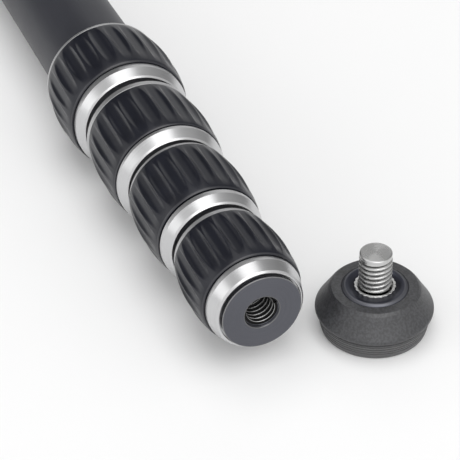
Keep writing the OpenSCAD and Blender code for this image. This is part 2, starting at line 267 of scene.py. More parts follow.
class Finish:
    """A Principled material, with helpers that feed its colour, roughness and bump."""

    def __init__(self, name, **sockets):
        self.material = bpy.data.materials.new(name)
        self.material.use_nodes = True
        self.tree = self.material.node_tree
        self.shader = self.tree.nodes["Principled BSDF"]
        for socket, value in sockets.items():
            self.shader.inputs[socket.replace("_", " ")].default_value = value
        self.normal = None

    def node(self, kind, **values):
        """A new node. Each value goes to the input of that name, or else to the property."""
        made = self.tree.nodes.new(kind)
        for key, value in values.items():
            if key in made.inputs:
                made.inputs[key].default_value = value
            else:
                setattr(made, key, value)
        return made

    def noise(self, scale, follow_lathe=False, detail=3.0, distortion=0.0):
        """Fractal noise from 0 to 1. scale is how many waves there are in a metre: one number, or one for
        each axis. With follow_lathe the axes are round the piece and along its profile."""
        if follow_lathe:
            source = self.node("ShaderNodeUVMap", uv_map=UV_NAME).outputs["UV"]
        else:
            source = self.node("ShaderNodeTexCoord").outputs["Object"]
        mapping = self.node("ShaderNodeMapping")
        mapping.inputs["Scale"].default_value = scale if isinstance(scale, tuple) else (scale,) * 3
        noise = self.node("ShaderNodeTexNoise", Scale=1.0, Detail=detail, Distortion=distortion)
        self.tree.links.new(source, mapping.inputs["Vector"])
        self.tree.links.new(mapping.outputs["Vector"], noise.inputs["Vector"])
        return noise.outputs["Fac"]

    def cut_share(self, deepest):
        """How deep the shape is cut at this point: 0 on the uncut surface and 1 at the deepest, which is
        given in millimetres."""
        cut = self.node("ShaderNodeAttribute", attribute_name=CUT_NAME)
        return self.spread(cut.outputs["Fac"], 0, 1, 0, deepest * MM)

    def along(self):
        """Distance along the piece's profile from its first point, in metres."""
        uv = self.node("ShaderNodeUVMap", uv_map=UV_NAME)
        parts = self.node("ShaderNodeSeparateXYZ")
        self.tree.links.new(uv.outputs["UV"], parts.inputs["Vector"])
        return parts.outputs["Y"]

    def near(self, place, width, share=1):
        """The share at that distance along the profile, and 0 from the width on either side of it."""
        away = self.node("ShaderNodeMath", operation="SUBTRACT")
        away.inputs[1].default_value = place
        distance = self.node("ShaderNodeMath", operation="ABSOLUTE")
        self.tree.links.new(self.along(), away.inputs[0])
        self.tree.links.new(away.outputs[0], distance.inputs[0])
        return self.spread(distance.outputs[0], share, 0, width / 2, width)

    def spread(self, value, low, high, from_low=NOISE_SPAN[0], from_high=NOISE_SPAN[1]):
        """low to high, as the value goes from from_low to from_high."""
        spread = self.node("ShaderNodeMapRange")
        numbers = (from_low, from_high, low, high)
        for socket, number in zip(("From Min", "From Max", "To Min", "To Max"), numbers):
            spread.inputs[socket].default_value = number
        self.tree.links.new(value, spread.inputs["Value"])
        return spread.outputs["Result"]

    def feed(self, value, socket):
        """The value goes to that socket of the shader."""
        self.tree.links.new(value, self.shader.inputs[socket])

    def mix(self, first, second, share):
        """first * (1 - share) + second * share."""
        blend = self.node("ShaderNodeMix", data_type="FLOAT")
        blend.inputs[0].default_value = share
        self.tree.links.new(first, blend.inputs[2])
        self.tree.links.new(second, blend.inputs[3])
        return blend.outputs[0]

    def colour(self, value, dark, light):
        """A ramp from the dark to the light colour, as the value goes from 0.3 to 0.7."""
        ramp = self.node("ShaderNodeValToRGB")
        for element, position, colour in zip(ramp.color_ramp.elements, NOISE_SPAN, (dark, light)):
            element.position = position
            element.color = (*colour, 1)
        self.tree.links.new(value, ramp.inputs["Fac"])
        self.feed(ramp.outputs["Color"], "Base Color")

    def over(self, share, colour):
        """The base colour so far goes over to another colour, by the share."""
        blend = self.node("ShaderNodeMix", data_type="RGBA")
        blend.inputs[7].default_value = (*colour, 1)
        self.tree.links.new(share, blend.inputs[0])
        self.tree.links.new(self.shader.inputs["Base Color"].links[0].from_socket, blend.inputs[6])
        self.feed(blend.outputs[2], "Base Color")

    def band(self, place, width, colour, share=1):
        """A band of another colour right round the piece, at that distance along its profile."""
        self.over(self.near(place, width, share), colour)

    def brushed_round(self, amount):
        """Lines round the piece spread the shine across them: the tangent is the UV map's round direction,
        and the quarter turn lays the shine along the profile."""
        tangent = self.node("ShaderNodeTangent", direction_type="UV_MAP", uv_map=UV_NAME)
        self.feed(tangent.outputs["Tangent"], "Tangent")
        self.shader.inputs["Anisotropic"].default_value = amount
        self.shader.inputs["Anisotropic Rotation"].default_value = 0.25

    def roughness(self, value, low, high):
        """The roughness goes from low to high, as the value goes from 0.3 to 0.7."""
        self.feed(self.spread(value, low, high), "Roughness")

    def bump(self, height, depth):
        """A bump as deep as depth, in metres, on top of any bump before it."""
        bump = self.node("ShaderNodeBump", Strength=1.0, Distance=depth)
        self.tree.links.new(height, bump.inputs["Height"])
        if self.normal is not None:
            self.tree.links.new(self.normal, bump.inputs["Normal"])
        self.normal = bump.outputs["Normal"]
        self.feed(self.normal, "Normal")


def grey(level, blue=0.0):
    """A grey of that level, with that share more blue in it, and an eighth of it more green."""
    return (level, level * (1 + blue / 8), level * (1 + blue))


print("a grey of 0.5 with a quarter more blue:", grey(0.5, 0.25))

# %% [markdown]
# ## Metals
#
# The silver rings and flanges are turned aluminium: fine lines run round them, and the shine is spread across
# the lines. Stretching the noise does that, with many waves along the profile and few round it. The tubes
# are drawn and then anodised, so their lines run along. The end plug, the foot's cover disc and the parts of
# the head were turned before anodising, so theirs run round.

# %% Turned and drawn metals
def turned_metal(name, level, rough=(0.26, 0.36)):
    """Bare turned metal, with lines round the piece and slight cloudiness."""
    made = Finish(name, Metallic=1.0)
    lines = made.noise((25, 4200, 1), follow_lathe=True, detail=4)
    clouds = made.noise(90, detail=4)
    made.colour(made.mix(lines, clouds, 0.45), grey(level * 0.9, 0.01), grey(level * 1.06, 0.01))
    made.roughness(made.mix(clouds, lines, 0.5), *rough)
    made.bump(lines, 1.2e-6)
    return made


def anodised(name, level, blue, rough, scale, depth=1.5e-6, **sockets):
    """Metal with a dyed anodic layer: darker, softer in shine, with faint lines of the blank under it."""
    made = Finish(name, **sockets)
    lines = made.noise(scale, follow_lathe=True, detail=4)
    grain = made.noise(5200, detail=2)
    clouds = made.noise(60, detail=3)
    made.colour(made.mix(lines, clouds, 0.5), grey(level * 0.88, blue), grey(level * 1.12, blue))
    made.roughness(made.mix(clouds, grain, 0.5), *rough)
    made.bump(lines, depth)
    made.bump(grain, 1e-6)
    return made


ring_metal = turned_metal("turned_silver_ring", 0.59)
flange_metal = turned_metal("fine_turned_flange", 0.51, rough=(0.34, 0.46))
tube_finish = anodised("satin_charcoal_tube", 0.032, 0.25, (0.36, 0.48), (1800, 30, 1),
                       Specular_IOR_Level=0.24)
plug_metal = anodised("faced_plug", 0.102, 0.18, (0.26, 0.4), (20, 3600, 1), 2.5e-6, Metallic=0.75)
black_metal = anodised("black_head_metal", 0.017, 0.15, (0.3, 0.45), (20, 3000, 1), Metallic=0.2)
handle_metal = turned_metal("handle_end_ring", 0.42, rough=(0.3, 0.42))
disc_finish = anodised("cover_disc", 0.045, 0.4, (0.26, 0.36), (20, 3000, 1), Metallic=0.7)
print("finishes so far:", len(bpy.data.materials))

# %% [markdown]
# ## Stainless steel
#
# The stud, the insert round it and the camera screw are stainless steel, brighter and smoother than the
# rings. Their lines are so fine that only the stretched shine shows them, so the shader's own anisotropy
# does it, with its tangent taken from the UV map. Faint smudges keep the shine from being even.

# %% Steel
def steel(name, level):
    """Stainless steel with fine machining lines round the piece and faint smudges."""
    made = Finish(name, Metallic=1.0)
    lines = made.noise((40, 6000, 1), follow_lathe=True, detail=3)
    smudges = made.noise(160, detail=4, distortion=0.4)
    made.colour(smudges, grey(level * 0.86, -0.01), grey(level, -0.01))
    made.roughness(made.mix(lines, smudges, 0.6), 0.2, 0.34)
    made.bump(lines, 1e-6)
    made.brushed_round(0.6)
    return made


stud_steel = steel("stud_steel", 0.62)
insert_metal = steel("knurled_insert", 0.94)
screw_steel = steel("screw_steel", 0.66)
print("finishes so far:", len(bpy.data.materials))

# %% [markdown]
# ## Rubber, foam and plastic
#
# Moulded rubber has a fine bloom and a soft shine; the foot's rubber is coarser and greyer than the grips'.
# Closed-cell foam shows its cells as small pits, for which a Voronoi pattern would do, but noise with a
# little distortion looks less regular.

# %% Rubber, foam and plastic
def rubber(name, level, blue, rough, grain_scale, grain_depth, **sockets):
    """Moulded rubber: a dark even colour, a matt grain, and patches that shine a little more."""
    made = Finish(name, **sockets)
    grain = made.noise(grain_scale, detail=3)
    patches = made.noise(110, detail=4)
    made.colour(made.mix(patches, grain, 0.4), grey(level * 0.72, blue), grey(level * 1.3, blue))
    made.roughness(made.mix(patches, grain, 0.4), *rough)
    made.bump(grain, grain_depth)
    return made


def foam(name, level):
    """Closed-cell foam: open cut cells give small pits, and the colour is a little lighter between them."""
    made = Finish(name, Specular_IOR_Level=0.25, Sheen_Weight=0.12)
    cells = made.noise(1500, detail=2, distortion=0.6)
    swell = made.noise(35, detail=2)
    made.colour(cells, grey(level * 0.5, 0.02), grey(level * 1.4, 0.02))
    made.roughness(cells, 0.78, 0.95)
    made.bump(cells, 9e-5)
    made.bump(swell, 3e-4)
    return made


def plastic(name, colour, rough):
    """Moulded plastic with a soft grain and slight flow marks."""
    made = Finish(name)
    flow = made.noise(70, detail=3, distortion=1.2)
    grain = made.noise(3200, detail=2)
    light = tuple(min(1.0, part * 1.05) for part in colour)
    made.colour(flow, tuple(part * 0.94 for part in colour), light)
    made.roughness(made.mix(flow, grain, 0.5), *rough)
    made.bump(grain, 3e-6)
    return made


GRIP_SHINE = 0.4
grip_rubber = rubber("grip_rubber", 0.0044, 1.4, (0.28, 0.38), 3600, 5e-6, Specular_IOR_Level=GRIP_SHINE)
foot_rubber = rubber("foot_rubber", 0.027, 0.12, (0.36, 0.5), 2200, 6e-5, Specular_IOR_Level=0.8)
seal_rubber = rubber("seal_rubber", 0.01, 0.05, (0.45, 0.6), 3000, 8e-6)
pad_rubber = rubber("pad_rubber", 0.018, 0.03, (0.6, 0.75), 1800, 5e-5)
handle_foam = foam("handle_foam", 0.026)
guide_plastic = plastic("guide_plastic", (0.78, 0.76, 0.7), (0.35, 0.5))
print("finishes:", len(bpy.data.materials))

# %% [markdown]
# ## Handing a piece over
#
# Each new piece gets its finish, rides on the body that carries the node it stands for, and hides that
# node. One helper does all of it, so that no piece is left behind in a pose.

# %% Hand a piece over to its body
BODIES = frame["record"]["behaviour"]["bodies"]
BODY_OF = {node: body for body, members in BODIES.items() for node in members}


def stand_for(piece, finish, slot, *nodes):
    """The piece gets its finish, rides on its node's body, and is shown instead of its nodes. The slot is not
    used.
    """
    piece.data.materials.append(finish.material)
    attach(piece, BODY_OF[nodes[0]])
    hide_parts(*nodes)


print("bodies:", sorted(BODIES))

# %% [markdown]
# ## Tubes
#
# Five drawn aluminium tubes. Along the bore of each of the four larger ones run two key grooves, in which
# the next section's guides slide, so that a section can't turn in its tube. The grooves are cut by the shape
# function: near either side of the bore, the radius grows by the groove's depth.

# %% Tubes
TUBE_WALL = 1.0
KEY_WIDTH = 3.0
KEY_DEPTH = 0.4
TUBE_EDGE = 0.12
TUBE_SIDES = 360
SECTIONS = (1, 2, 3, 4, 5)


def tube(number):
    """A tube with two key grooves. In the bore the radius grows by the groove's depth where the sideways
    distance from the groove's middle, radius times cosine of the angle, is under half its width."""
    outer, bottom, top = reach(f"tube_{number}")
    bore = outer - TUBE_WALL
    grooved = number < len(SECTIONS)

    def key_grooves(radius, angle, height):
        """The radius plus the groove's depth, inside the two grooves."""
        inside = (radius < outer - TUBE_WALL / 2) & (np.abs(radius * np.cos(angle)) < KEY_WIDTH / 2)
        return radius + KEY_DEPTH * (inside & grooved)

    profile = rounded([(outer, bottom, TUBE_EDGE), (outer, top, TUBE_EDGE), (bore, top, TUBE_EDGE),
                       (bore, bottom, TUBE_EDGE)])
    piece = lathe(f"section_{number}_tube", profile, on_axis, even_angles(TUBE_SIDES), key_grooves)
    stand_for(piece, tube_finish, "tube_finish", f"tube_{number}")


for section in SECTIONS:
    tube(section)

# %% [markdown]
# ## The twist locks' own sizes
#
# The four locks are of one family, but each has its own proportions. Heights are in millimetres from the
# lock's bottom edge, radii are added to the radius of the tube the lock is on, and the angles place its
# flutes as they lie on the real one. Ends and outer radii come from the model.

# %% Sizes of the four locks
LOCKS = {
    1: dict(ring=6.05, step=2.35, foot_out=1.1, flange=1.1, barrel=(19.85, 21.1, 19.8), margins=(2.6, 1.4),
            flute_from=5.0, flute_wide=12.5),
    2: dict(ring=4.8, step=1.3, foot_out=1.3, flange=2.0, barrel=(17.9, 19.0, 17.9), margins=(1.8, 1.2),
            flute_from=8.3, flute_wide=13.4),
    3: dict(ring=5.1, step=1.8, foot_out=1.5, flange=1.5, barrel=(16.2, 17.5, 16.4), margins=(2.2, 1.4),
            flute_from=7.6, flute_wide=13.4),
    4: dict(ring=5.8, step=1.8, foot_out=1.6, flange=2.0, barrel=(15.0, 16.1, 14.8), margins=(2.0, 0.7),
            flute_from=7.5, flute_wide=13.6),
}
for number, lock in LOCKS.items():
    lock["tube"] = reach(f"tube_{number}")[0]
    lock["inner"] = reach(f"tube_{number + 1}")[0]
    lock["out"], lock["bottom"], lock["core_top"] = reach(f"collar_{number}")
    print(f"lock {number}: {lock['bottom']:.2f} mm above the plug face, ring radius {lock['out']:.2f} mm")

# %% [markdown]
# ## Rubber grips
#
# Each grip is a barrel, cut by 24 broad flutes that leave thin ridges between them. The flutes run out
# before the barrel's ends because the barrel falls away there. A boolean with 24 cutters would give hard
# edges and odd normals. Here the surface is the smooth minimum of two radii, the barrel's and the flute's,
# which rounds every edge as a mould does. The columns stand closer together near the ridges, where the
# shape changes fastest.

# %% Barrel and flutes
FLUTES = 24
COLUMNS_PER_FLUTE = 24
CROWD = 0.08


def barrel_radius(radii, share):
    """A straight taper between the end radii plus a parabola, 4 * share * (1 - share), that rises between."""
    low, middle, top = radii
    return (1 - share) * low + share * top + 4 * share * (1 - share) * (middle - (low + top) / 2)


def smooth_min(a, b, blend):
    """The smaller of a and b. Where they differ by less than the blend it is lowered, by a quarter of the
    blend times the square of the share of the blend that is left, so that the surfaces meet rounded."""
    left = np.maximum(blend - np.abs(a - b), 0) / blend
    return np.minimum(a, b) - left * left * blend / 4


def flute_angles(first):
    """Columns over a turn, from a flute's middle, shifted by a sine so that they crowd near the ridges."""
    share = np.arange(FLUTES * COLUMNS_PER_FLUTE + 1) / COLUMNS_PER_FLUTE
    return math.radians(first) + (share + CROWD * np.sin(TURN * share)) * TURN / FLUTES


print("columns in a grip's turn:", FLUTES * COLUMNS_PER_FLUTE)

# %% [markdown]
# ## A grip from lip to lip
#
# The grip's profile goes from the bore over the lower lip, up the barrel, and back to the bore over the upper
# lip. The lower lip is a small smooth chamfer, which shines as a thin light line over each silver ring. It
# could be a material of its own on a few faces, but the edge between the two would follow the mesh. Here the
# grip's one finish knows the lip by the distance along the profile.

# %% Grips
BARREL_ROWS = 66
BARREL_FROM = 0.035
EDGE_BLEND = 0.3
FLUTE_POWER = 3.6
TOP_LIP = 0.38
LIP_IN = 0.2
LIP_UP = 0.3
LIP_END = 1.4
LIP_FADE = 0.2
LIP_SHINE = 0.85
GRIP_BORE_OUT = 2.72


def grip(number, lock):
    """The flute's radius is floor + depth * (d / w) ** power: d is the angle from the flute's middle, w is
    half the flute's width, and the floor is a straight line that meets the barrel at the two margins, where
    the flutes run out. The power of 3.6 makes the floor nearly flat and the ridges thin."""
    _, bottom, top = reach(f"grip_{number}")
    length = top - bottom
    margin_low, margin_top = lock["margins"]
    ends = np.array([margin_low / length, 1 - margin_top / length])
    floor_ends = barrel_radius(lock["barrel"], ends)
    middle = barrel_radius(lock["barrel"], 0.5)
    depth = middle - floor_ends.mean()
    half_width = math.radians(lock["flute_wide"] / 2)

    def fluted(radius, angle, height):
        """The smooth minimum of the barrel's radius and the flute's, at the angle to the nearest flute."""
        share = (height - bottom) / length
        floor = floor_ends[0] + (share - ends[0]) / (ends[1] - ends[0]) * (floor_ends[1] - floor_ends[0])
        pitch = TURN / FLUTES
        from_middle = np.abs((angle - math.radians(lock["flute_from"]) + pitch / 2) % pitch - pitch / 2)
        return smooth_min(radius, floor + depth * (from_middle / half_width) ** FLUTE_POWER, EDGE_BLEND)

    bore = lock["tube"] + GRIP_BORE_OUT
    share = np.linspace(BARREL_FROM, 1 - BARREL_FROM, BARREL_ROWS)
    side = list(zip(barrel_radius(lock["barrel"], share), bottom + share * length))
    lip_r = lock["barrel"][0]
    profile = rounded([(bore, bottom), (lip_r - LIP_IN, bottom, 0.06), (lip_r, bottom + LIP_UP, 0.12),
                       *side, (lock["barrel"][2], top, TOP_LIP), (bore, top)])
    piece = lathe(f"lock_{number}_grip", profile, on_axis, flute_angles(lock["flute_from"]), fluted)
    print(f"  flutes {depth:.2f} mm deep")
    stand_for(piece, grip_rubber, "grip_rubber", f"grip_{number}")


lip_shine = grip_rubber.spread(grip_rubber.along(), LIP_SHINE, GRIP_SHINE, LIP_END * MM,
                               (LIP_END + LIP_FADE) * MM)
grip_rubber.feed(lip_shine, "Specular IOR Level")
for number, lock in LOCKS.items():
    grip(number, lock)

# %% [markdown]
# ## Silver rings
#
# The ring and the core that the rubber is moulded on are one turned collar. From below it has a rim round a
# shallow recess, a chamfer, a long cone, and a cylindrical step under the grip. Inside it has the groove
# for a wiper seal and the taper that closes the collet.

# %% Silver rings
RIM_WIDTH = 0.35
RIM_CHAMFER = 0.5
RECESS = 0.9
CORE_OUT = 2.7
THREAD_OUT = 1.6
THREAD_FROM = 12.8
TAPER_FROM = 5.2
TAPER_NARROW = 1.1
TAPER_WIDE = 2.4
BORE_OUT = 0.5
SEAL_OUT = 1.6
SEAL_FROM = 2.0
SEAL_TO = 4.1


def collar(number, lock):
    """The closed profile: from the rim up the outside and over the core, then down the inside past the
    thread, the taper, the seal's groove and the recess."""
    tube_r, inner, base = lock["tube"], lock["inner"], lock["bottom"]
    foot_r, bore = tube_r + lock["foot_out"], inner + BORE_OUT
    ring_top = base + lock["ring"]
    outside = [
        (foot_r - RIM_WIDTH, base, 0.08), (foot_r, base, 0.1),
        (foot_r + RIM_CHAMFER, base + RIM_CHAMFER, 0.2),
        (lock["out"], ring_top - lock["step"], 0.14), (lock["out"], ring_top, 0.14),
        (tube_r + CORE_OUT, ring_top), (tube_r + CORE_OUT, lock["core_top"]),
    ]
    inside = [
        (tube_r + THREAD_OUT, lock["core_top"]), (tube_r + THREAD_OUT, base + THREAD_FROM),
        (inner + TAPER_WIDE, base + THREAD_FROM), (inner + TAPER_NARROW, base + TAPER_FROM),
        (bore, base + TAPER_FROM, 0.1), (bore, base + SEAL_TO, 0.1),
        (inner + SEAL_OUT, base + SEAL_TO), (inner + SEAL_OUT, base + SEAL_FROM),
        (bore, base + SEAL_FROM, 0.1), (bore, base + RECESS, 0.12),
        (foot_r - RIM_WIDTH, base + RECESS, 0.08),
    ]
    piece = lathe(f"lock_{number}_collar", rounded(outside + inside), on_axis)
    stand_for(piece, ring_metal, "ring_metal", f"collar_{number}")


for number, lock in LOCKS.items():
    collar(number, lock)

# %% [markdown]
# ## Flanges
#
# Above each grip shows the flange of the threaded sleeve that is bonded round the tube. The sleeve goes down
# inside the collar; its thread is hidden, so it stays a plain cylinder. Pieces that sit in one another are
# drawn with the same small gap between them, the slip fit.

# %% Flanges
SLEEVE_OUT = 1.5
SLIP_FIT = 0.02


def sleeve(number, lock):
    """The closed profile of a thin sleeve with a flange at its top."""
    flange_r, bottom, top = reach(f"sleeve_{number}")
    bore, wall = lock["tube"] + SLIP_FIT, lock["tube"] + SLEEVE_OUT
    under = top - lock["flange"]
    profile = rounded([(bore, bottom), (wall, bottom, 0.3), (wall, under), (flange_r, under, 0.12),
                       (flange_r, top, 0.22), (bore, top)])
    piece = lathe(f"lock_{number}_flange", profile, on_axis)
    stand_for(piece, flange_metal, "flange_metal", f"sleeve_{number}")


for number, lock in LOCKS.items():
    sleeve(number, lock)

# %% [markdown]
# ## Screw threads
#
# A thread is a helix: going once round, the profile climbs by one pitch. So the height in the profile is
# measured as height / pitch minus the share of the turn, and its fraction says where on the ridge a point is.
# Sweeping a triangle along a helix curve would leave open ends and a seam on the shank. As a change of
# radius, the thread is part of one closed surface, and it can fade out at its ends.

# %% Thread
PITCH = 1.5875
ROWS_PER_PITCH = 18
CREST = 0.125
ROOT = 0.2


def thread_ridge(height, angle, first=0.0, crest=CREST):
    """0 in the root and 1 on the crest. The fraction f of (height - first) / pitch - angle / turn gives the
    distance from the root's middle as |2 f - 1|, and the flanks rise straight from the root to the crest."""
    fraction = ((height - first) / PITCH - angle / TURN) % 1
    return np.clip((np.abs(2 * fraction - 1) - ROOT) / (1 - crest - ROOT), 0, 1)


def fade(value, gone, full):
    """0 where the value is at gone and 1 where it is at full: 3 s^2 - 2 s^3, with s the share of the way."""
    share = np.clip((value - gone) / (full - gone), 0, 1)
    return share * share * (3 - 2 * share)


def rows_at(radius, heights):
    """Profile points at one radius."""
    return np.stack([np.full(len(heights), radius), heights], axis=-1)


def thread_rows(radius, start, end):
    """Profile points at one radius, close enough together for the thread's flanks."""
    return rows_at(radius, np.linspace(start, end, int(abs(end - start) / PITCH * ROWS_PER_PITCH)))


print(f"a row every {PITCH / ROWS_PER_PITCH:.3f} mm of thread")

# %% [markdown]
# ## End plug
#
# The plug closes the bottom tube and has the socket that the foot screws into. Its face was turned flat,
# and the socket's mouth has a small chamfer, where the first ridge of the thread starts. Behind the thin
# face disc is a neck, which lies in shadow. The whole plug is one lathe profile: bore, mouth, face, neck
# and spigot.
#
# The thread was cut after the anodising, so its crests are bare, and the edges of the face and the mouth are
# rubbed bare. Thin lighter bands are painted there, partly for that wear and partly as painted highlight
# lines. The bore's profile stands a little outside the thread's major radius, and the thread is drawn in from
# there. So the kept cut depth is above zero even at the thread's roots, and the finish can tell the bore from
# the plain face: the bore's wall below the crests gets a near-black painted shade.

# %% End plug
SOCKET_MAJOR = 4.8
SOCKET_MINOR = 4.05
SOCKET_DEPTH = 15.5
BORE_MARK = 0.2
BORE_R = SOCKET_MAJOR + BORE_MARK
SAME_RADIUS = 0.01
MOUTH = 0.5
THREAD_START = math.radians(70)
START_BEFORE = 0.1
START_AFTER = 0.3
RUN_OUT_FROM = 2.0
RUN_OUT_TO = 0.5
PLUG_FACE = 0.45
NECK_IN = 0.9
PLUG_FLANGE = 1.75
PLUG_TOP = 22.0


def along_at(profile, radius, height):
    """Distance along the profile, in metres, to its point nearest to that radius and height."""
    step = np.linalg.norm(np.diff(profile, axis=0), axis=1)
    nearest = np.argmin(np.hypot(profile[:, 0] - radius, profile[:, 1] - height))
    return step[:nearest].sum() * MM


def socket_thread(radius, angle, height):
    """In the bore the radius falls from the major to the minor radius on the ridges. The thread starts at the
    mouth and its start runs one pitch deeper in a turn, as the helix does. It fades out near the bottom."""
    in_bore = np.abs(radius - BORE_R) < SAME_RADIUS
    start = MOUTH + PITCH * ((angle - THREAD_START) / TURN % 1)
    started = fade(height, start - START_BEFORE, start + START_AFTER)
    running = fade(height, SOCKET_DEPTH - RUN_OUT_TO, SOCKET_DEPTH - RUN_OUT_FROM)
    ridge = thread_ridge(height, angle, MOUTH + START_AFTER - PITCH * THREAD_START / TURN)
    return radius - in_bore * started * running * (BORE_MARK + (SOCKET_MAJOR - SOCKET_MINOR) * ridge)


flange_r = reach("end_plug")[0]
neck_r = flange_r - NECK_IN
spigot_r = reach("tube_5")[0] - TUBE_WALL - SLIP_FIT
plug_profile = np.concatenate([
    rounded([(0, PLUG_TOP), (0, SOCKET_DEPTH), (SOCKET_MAJOR, SOCKET_DEPTH)]),
    thread_rows(BORE_R, SOCKET_DEPTH - 0.05, MOUTH),
    rounded([(BORE_R, MOUTH), (SOCKET_MAJOR + MOUTH, 0, 0.1), (flange_r, 0, 0.15), (flange_r, PLUG_FACE, 0.1),
             (neck_r, PLUG_FACE, 0.05), (neck_r, PLUG_FLANGE), (spigot_r, PLUG_FLANGE),
             (spigot_r, PLUG_TOP, 0.4), (0, PLUG_TOP)])[1:-1],
])
print("end plug's profile:", len(plug_profile), "points")

# %% [markdown]
# ## The plug's bare crests, painted shade and painted highlights
#
# A share of the thread's depth picks out its roots, which get a painted shade, and its crests, which are bare.
# The rubbed edges are thin lighter bands at their distance along the profile, partly wear and partly painted
# highlight. Pointiness would find edges by itself, but it would find all of them alike.

# %% Plug finish and piece
ROOT_PAINTED_SHADE = grey(0.001)
BARE_CREST = grey(0.8)
thread_cut = plug_metal.cut_share(BORE_MARK + SOCKET_MAJOR - SOCKET_MINOR)
# The bore's wall below the crests goes near black: a painted shade, as in a deep hole.
plug_metal.over(plug_metal.spread(thread_cut, 0, 1, 0.05, 0.15), ROOT_PAINTED_SHADE)
plug_metal.over(plug_metal.spread(thread_cut, 0, 1, 0.85, 1), BARE_CREST)
# Lighter bands on the face's outer edge and the mouth's edge: partly rubbed bare metal, partly painted
# highlight lines.
for edge_r, wear_and_highlight in ((flange_r, 0.24), (SOCKET_MAJOR + MOUTH, 0.16)):
    plug_metal.band(along_at(plug_profile, edge_r, 0), 0.2 * MM, grey(wear_and_highlight))
end_plug = lathe("end_plug_turned", plug_profile, on_axis, shape=socket_thread)
stand_for(end_plug, plug_metal, "plug_metal", "end_plug")

# %% [markdown]
# ## Rubber foot
#
# The foot is one moulding: four fine grooves round its wall, a ledge, a round shoulder, a cone, and a flat
# rim round the disc. Every step is a corner of the profile with its own fillet, and two fine grooves set the
# ledge off.

# %% Rubber foot
FOOT_BASE = 15.3
SOLE_IN = 0.3
SOLE_UP = 0.4
FOOT_WALL_TOP = (16.5, 5.4)
GROOVES = (2.0, 2.9, 3.9, 4.9)
GROOVE_HALF = 0.17
GROOVE_DEPTH = 0.3
LEDGE = ((16.65, 5.75), (16.75, 5.95))
LEDGE_GROOVES = ((15.95, 5.58), (16.15, 6.15))
SHOULDER = 1.2
SHOULDER_Z = 7.1
CONE_TOP_R = 13.3
CONE_DROP = 0.8
RIM_R = 12.8
RIM_EDGE = 0.3
DISC_R = 9.6
DISC_FROM = 13.2
DISC_WELL_EDGE = 0.15
INSERT_R = 6.05
INSERT_FROM = 4.0
foot_max = (foot_high.x - foot_low.x) / 2 / MM
foot_top = foot_high.z / MM


def wall_radius(height):
    """The wall leans outwards in a straight line."""
    return FOOT_BASE + (FOOT_WALL_TOP[0] - FOOT_BASE) * height / FOOT_WALL_TOP[1]


grooves = []
for z in GROOVES:
    grooves += [(wall_radius(z), z - GROOVE_HALF, 0.05), (wall_radius(z) - GROOVE_DEPTH, z, 0.05),
                (wall_radius(z), z + GROOVE_HALF, 0.05)]
bend = np.radians(np.linspace(-45, 45, 10))
shoulder = list(zip(foot_max - SHOULDER + SHOULDER * np.cos(bend), SHOULDER_Z + SHOULDER * np.sin(bend)))
foot_profile = rounded([
    (0, 0), (FOOT_BASE - SOLE_IN, 0, 0.3), (wall_radius(SOLE_UP), SOLE_UP, 0.3), *grooves,
    (*FOOT_WALL_TOP, 0.05), LEDGE_GROOVES[0], (*LEDGE[0], 0.05), (*LEDGE[1], 0.05), LEDGE_GROOVES[1],
    *shoulder, (CONE_TOP_R, foot_top - CONE_DROP, 0.2),
    (RIM_R, foot_top - RIM_EDGE, 0.15), (RIM_R - RIM_EDGE, foot_top, 0.15),
    (DISC_R + DISC_WELL_EDGE, foot_top, 0.1), (DISC_R, foot_top - DISC_WELL_EDGE, 0.05), (DISC_R, DISC_FROM),
    (INSERT_R + SLIP_FIT, DISC_FROM), (INSERT_R + SLIP_FIT, INSERT_FROM), (0, INSERT_FROM),
])
print("foot's profile:", len(foot_profile), "points")

# %% [markdown]
# ## Speckle, painted light and painted shade on the foot
#
# Fine noise goes over the rubber twice, once with a paler and once with a darker grey, which gives the
# speckle of used rubber. A broad paler band is painted on the wall as the light that the white floor throws
# up onto it, and two narrow dark bands in the ledge's grooves are painted shade, where no light gets in.

# %% Foot finish and piece
SPECKLE = 1500
WALL_MIDDLE = 2.5
dust = foot_rubber.noise(SPECKLE, detail=5)
foot_rubber.over(foot_rubber.spread(dust, 0, 0.6, 0.45, 0.62), grey(0.055, 0.12))
foot_rubber.over(foot_rubber.spread(dust, 0.6, 0, 0.38, 0.5), grey(0.014, 0.12))
on_wall = along_at(foot_profile, wall_radius(WALL_MIDDLE), WALL_MIDDLE)
# A paler band painted on the wall: painted light thrown up from the floor.
foot_rubber.band(on_wall, 6 * MM, grey(0.082, 0.02), share=0.75)
# Two near-black bands in the ledge's grooves: painted shade.
for place in LEDGE_GROOVES:
    foot_rubber.band(along_at(foot_profile, *place), 0.5 * MM, grey(0.002))
foot = lathe("foot_rubber_moulding", foot_profile, at_foot)
stand_for(foot, foot_rubber, "foot_rubber", "foot_rubber")

# %% [markdown]
# ## Cover disc
#
# A dark disc covers the rubber round the insert. It stands a little above the rim, and its rounded edge
# catches the light; a lighter band on that edge is partly wear and partly painted highlight. It is a turned
# ring, and so one more lathe profile.

# %% Cover disc
DISC_GAP = 0.03
DISC_BORE = INSERT_R + 0.07
DISC_EDGE_Z = 14.3
DISC_TOP = 14.83
DISC_EDGE_IN = 0.75
disc_out = DISC_R - DISC_GAP
disc_profile = rounded([(DISC_BORE, DISC_FROM + DISC_GAP), (disc_out, DISC_FROM + DISC_GAP),
                        (disc_out, DISC_EDGE_Z, 0.15), (disc_out - DISC_EDGE_IN, DISC_TOP, 0.5),
                        (DISC_BORE, DISC_TOP)])
edge_middle = along_at(disc_profile, disc_out - DISC_EDGE_IN / 2, (DISC_EDGE_Z + DISC_TOP) / 2)
# The lighter band on the disc's rounded edge is partly wear and partly a painted highlight.
disc_finish.band(edge_middle, DISC_EDGE_IN * MM, grey(0.12, 0.15))
disc = lathe("foot_cover_disc", disc_profile, at_foot)
stand_for(disc, disc_finish, "foot_cup", "foot_cup")

